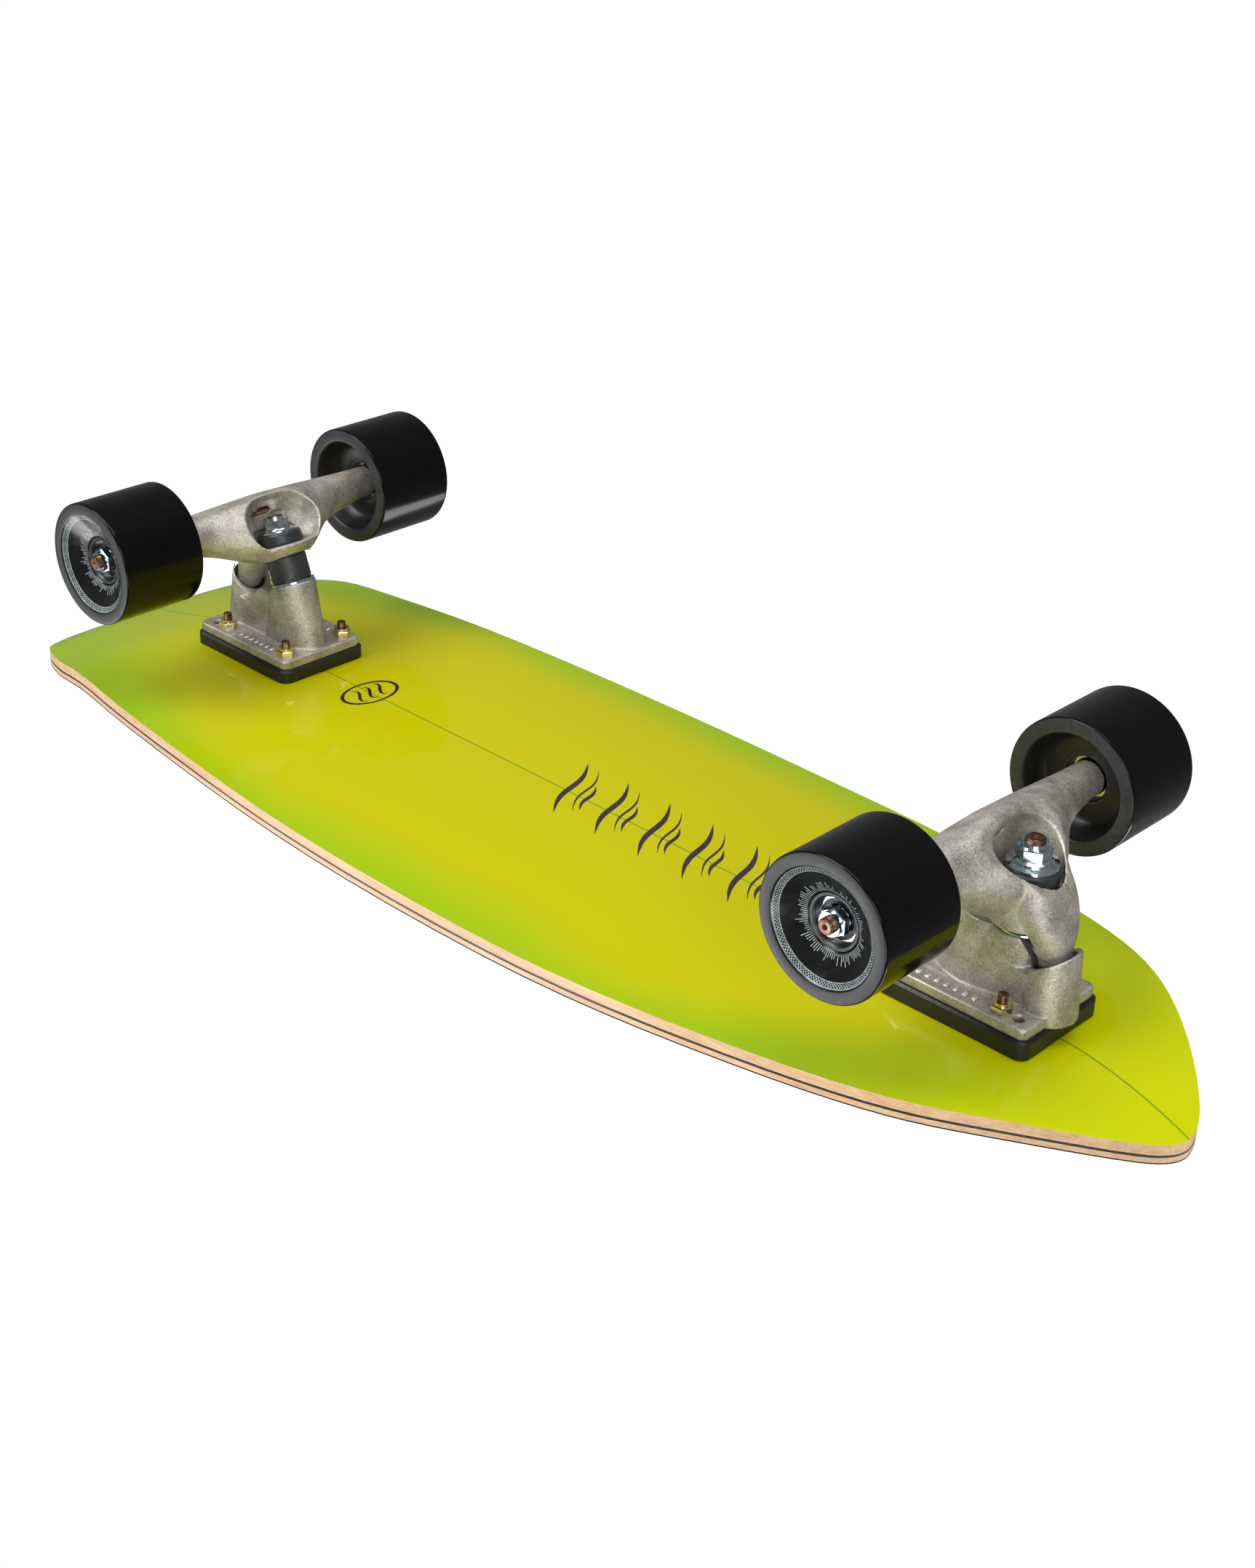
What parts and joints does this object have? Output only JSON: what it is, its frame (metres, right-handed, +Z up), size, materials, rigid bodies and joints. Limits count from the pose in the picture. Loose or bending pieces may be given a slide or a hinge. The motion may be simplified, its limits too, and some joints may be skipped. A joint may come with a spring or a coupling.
{
  "type": "skateboard",
  "caption": "Wide skateboard with a kicked square tail, a pointed round nose, a steering front truck, a plain rear truck, riser pads and soft black wheels.",
  "frame": {"origin": "on the ground under the middle of the deck's length and width", "axes": "+X to the nose, +Y to the left, +Z up, wheels down"},
  "size_m": [0.7684, 0.2512, 0.1498],
  "materials": {
    "deck_wood": "satin",
    "deck_dark_ply": "satin",
    "deck_painted_ply": "gloss clear coat over a yellow to lime green fade",
    "grip": "coarse grit",
    "cast_aluminium": "raw tumbled casting",
    "riser_plastic": "satin",
    "cup_plastic": "satin",
    "bushing_urethane": "satin",
    "zinc_steel": "bright blue zinc",
    "yellow_zinc_steel": "yellow zinc",
    "steel": "plain",
    "bearing_steel": "polished",
    "shield_black": "satin",
    "wheel_urethane": "gloss tread",
    "core_plastic": "satin"
  },
  "bodies": {
    "deck": {"ply_1": "deck_painted_ply", "ply_2": "deck_wood", "ply_3": "deck_wood", "ply_4": "deck_wood", "ply_5": "deck_dark_ply", "ply_6": "deck_wood", "ply_7": "deck_wood", "grip_tape": "grip", "truck_bolts": "yellow_zinc_steel", "truck_lock_nuts": "yellow_zinc_steel", "front_riser_pad": "riser_plastic", "front_baseplate": "cast_aluminium", "front_pivot_cup": "cup_plastic", "front_kingpin": "steel", "front_lower_washer": "zinc_steel", "front_lower_bushing": "bushing_urethane", "front_upper_bushing": "bushing_urethane", "front_cup_washer": "zinc_steel", "front_kingpin_nut": "zinc_steel", "rear_riser_pad": "riser_plastic", "rear_baseplate": "cast_aluminium", "rear_pivot_cup": "cup_plastic", "rear_kingpin": "steel", "rear_lower_washer": "zinc_steel", "rear_lower_bushing": "bushing_urethane", "rear_upper_bushing": "bushing_urethane", "rear_cup_washer": "zinc_steel", "rear_kingpin_nut": "zinc_steel"},
    "front_truck_hanger": {"front_hanger": "cast_aluminium", "front_axle": "steel", "front_bearing_inner_rings": "bearing_steel", "front_bearing_spacers": "steel", "front_speed_washers": "zinc_steel", "front_axle_nuts": "zinc_steel"},
    "front_left_wheel_set": {"front_left_wheel": "wheel_urethane", "front_left_wheel_core": "core_plastic", "front_left_bearing_outer_rings": "bearing_steel", "front_left_bearing_balls": "bearing_steel", "front_left_bearing_shields": "shield_black"},
    "front_right_wheel_set": {"front_right_wheel": "wheel_urethane", "front_right_wheel_core": "core_plastic", "front_right_bearing_outer_rings": "bearing_steel", "front_right_bearing_balls": "bearing_steel", "front_right_bearing_shields": "shield_black"},
    "rear_truck_hanger": {"rear_hanger": "cast_aluminium", "rear_axle": "steel", "rear_bearing_inner_rings": "bearing_steel", "rear_bearing_spacers": "steel", "rear_speed_washers": "zinc_steel", "rear_axle_nuts": "zinc_steel"},
    "rear_left_wheel_set": {"rear_left_wheel": "wheel_urethane", "rear_left_wheel_core": "core_plastic", "rear_left_bearing_outer_rings": "bearing_steel", "rear_left_bearing_balls": "bearing_steel", "rear_left_bearing_shields": "shield_black"},
    "rear_right_wheel_set": {"rear_right_wheel": "wheel_urethane", "rear_right_wheel_core": "core_plastic", "rear_right_bearing_outer_rings": "bearing_steel", "rear_right_bearing_balls": "bearing_steel", "rear_right_bearing_shields": "shield_black"}
  },
  "joints": [
    {"name": "front_steer", "type": "hinge", "parent": "deck", "child": "front_truck_hanger", "pos_m": [0.28805, 0, 0.0525], "axis": [-0.5408, 0, -0.8412], "range_deg": [-20, 20], "stiffness_Nm_per_rad": 18, "deforming": ["front_lower_bushing", "front_upper_bushing"]},
    {"name": "rear_steer", "type": "hinge", "parent": "deck", "child": "rear_truck_hanger", "pos_m": [-0.23614, 0, 0.0505], "axis": [0.7757, 0, -0.6311], "range_deg": [-12, 12], "stiffness_Nm_per_rad": 40, "deforming": ["rear_lower_bushing", "rear_upper_bushing"]},
    {"name": "front_left_wheel_spin", "type": "hinge", "parent": "front_truck_hanger", "child": "front_left_wheel_set", "pos_m": [0.26275, 0.09055, 0.0345], "axis": [0, 1, 0], "continuous": true},
    {"name": "front_right_wheel_spin", "type": "hinge", "parent": "front_truck_hanger", "child": "front_right_wheel_set", "pos_m": [0.26275, -0.09055, 0.0345], "axis": [0, 1, 0], "continuous": true},
    {"name": "rear_left_wheel_spin", "type": "hinge", "parent": "rear_truck_hanger", "child": "rear_left_wheel_set", "pos_m": [-0.25744, 0.09055, 0.0345], "axis": [0, 1, 0], "continuous": true},
    {"name": "rear_right_wheel_spin", "type": "hinge", "parent": "rear_truck_hanger", "child": "rear_right_wheel_set", "pos_m": [-0.25744, -0.09055, 0.0345], "axis": [0, 1, 0], "continuous": true}
  ]
}
